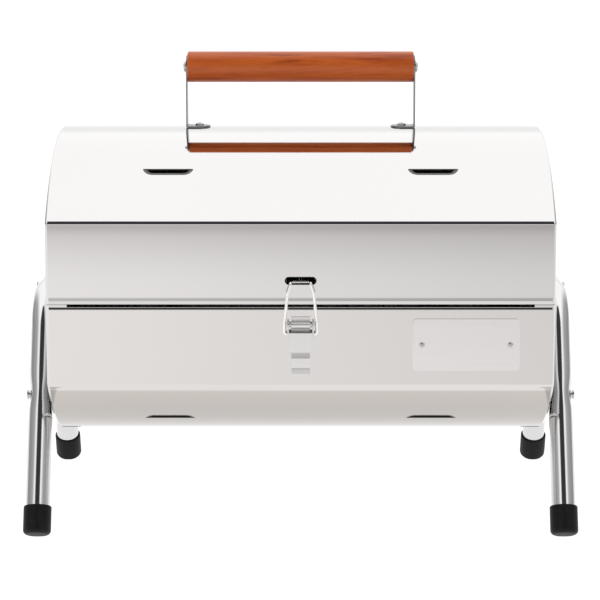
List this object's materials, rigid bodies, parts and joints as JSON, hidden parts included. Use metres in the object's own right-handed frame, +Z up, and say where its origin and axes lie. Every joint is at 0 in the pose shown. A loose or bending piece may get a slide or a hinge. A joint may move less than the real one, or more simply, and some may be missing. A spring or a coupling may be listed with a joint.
{
  "type": "portable charcoal barbecue",
  "caption": "Table-top charcoal barbecue: split metal barrel with hinged lid, toggle latch, wooden grip, lift-out grates and bent-tube leg frames.",
  "frame": {"origin": "on the table under the middle of the whole object (bottom centre of its bounding box)", "axes": "+X along the barrel (right when seen from the latch), +Y to the rear hinges, +Z up; the latch faces -Y"},
  "size_m": [0.4452, 0.3132, 0.3787],
  "materials": {
    "stainless": "mirror-polished stainless sheet",
    "tube": "polished stainless tube",
    "rubber": "matte black rubber",
    "fastener": "zinc-plated steel",
    "plate": "blank satin plate",
    "latch": "bright nickel-plated pressing",
    "wire": "bright plated wire",
    "hinge": "plain pressed steel",
    "wood": "varnished reddish-brown dowel",
    "strap": "bright flat strip",
    "grate": "chrome-plated welded wire",
    "support": "spot-welded sheet angle"
  },
  "bodies": {
    "base": {"base_shell": "stainless", "base_end_left": "stainless", "base_end_right": "stainless", "leg_frame_left": "tube", "leg_frame_right": "tube", "leg_foot_front_left": "rubber", "leg_foot_front_right": "rubber", "leg_foot_rear_left": "rubber", "leg_foot_rear_right": "rubber", "leg_screws_left": "fastener", "leg_screws_right": "fastener", "leg_nuts_left": "fastener", "leg_nuts_right": "fastener", "leg_washers_left": "fastener", "leg_washers_right": "fastener", "nameplate": "plate", "nameplate_rivets": "fastener", "latch_base_plate": "latch", "latch_pivot_pin": "latch", "latch_rivets": "fastener", "hinge_leaf_base_left": "hinge", "hinge_leaf_base_right": "hinge", "hinge_pin_left": "hinge", "hinge_pin_right": "hinge", "hinge_rivets_base": "fastener", "grate_tabs_front": "support", "grate_tabs_rear": "support", "charcoal_rail_left": "support", "charcoal_rail_right": "support"},
    "lid": {"lid_shell": "stainless", "lid_end_left": "stainless", "lid_end_right": "stainless", "hinge_leaf_lid_left": "hinge", "hinge_leaf_lid_right": "hinge", "hinge_rivets_lid": "fastener", "handle_grip": "wood", "handle_strap_left": "strap", "handle_strap_right": "strap", "handle_end_screws": "fastener", "handle_foot_screws": "fastener", "handle_foot_nuts": "fastener"},
    "lever": {"latch_lever": "latch"},
    "bail": {"latch_bail": "wire"},
    "cooking_grate": {"cooking_grate": "grate"},
    "charcoal_grate": {"charcoal_grate": "grate"}
  },
  "joints": [
    {"name": "lid_hinge", "type": "hinge", "parent": "base", "child": "lid", "pos_m": [0, 0.1536, 0.1908], "axis": [-1, 0, 0], "range_deg": [0, 181]},
    {"name": "lever_pivot", "type": "hinge", "parent": "base", "child": "lever", "pos_m": [0, -0.1519, 0.1755], "axis": [-1, 0, 0], "range_deg": [0, 130]},
    {"name": "bail_pivot", "type": "hinge", "parent": "lever", "child": "bail", "pos_m": [0, -0.1512, 0.1685], "axis": [-1, 0, 0], "range_deg": [-143, 0]},
    {"name": "cooking_grate_lift", "type": "slide", "parent": "base", "child": "cooking_grate", "axis": [0, 0, 1], "range_m": [0, 0.034]},
    {"name": "charcoal_grate_lift", "type": "slide", "parent": "base", "child": "charcoal_grate", "axis": [0, 0, 1], "range_m": [0, 0.038]}
  ],
  "couplings": [
    {"joint": "bail_pivot", "follows": "lever_pivot", "ratio": -1.1}
  ]
}
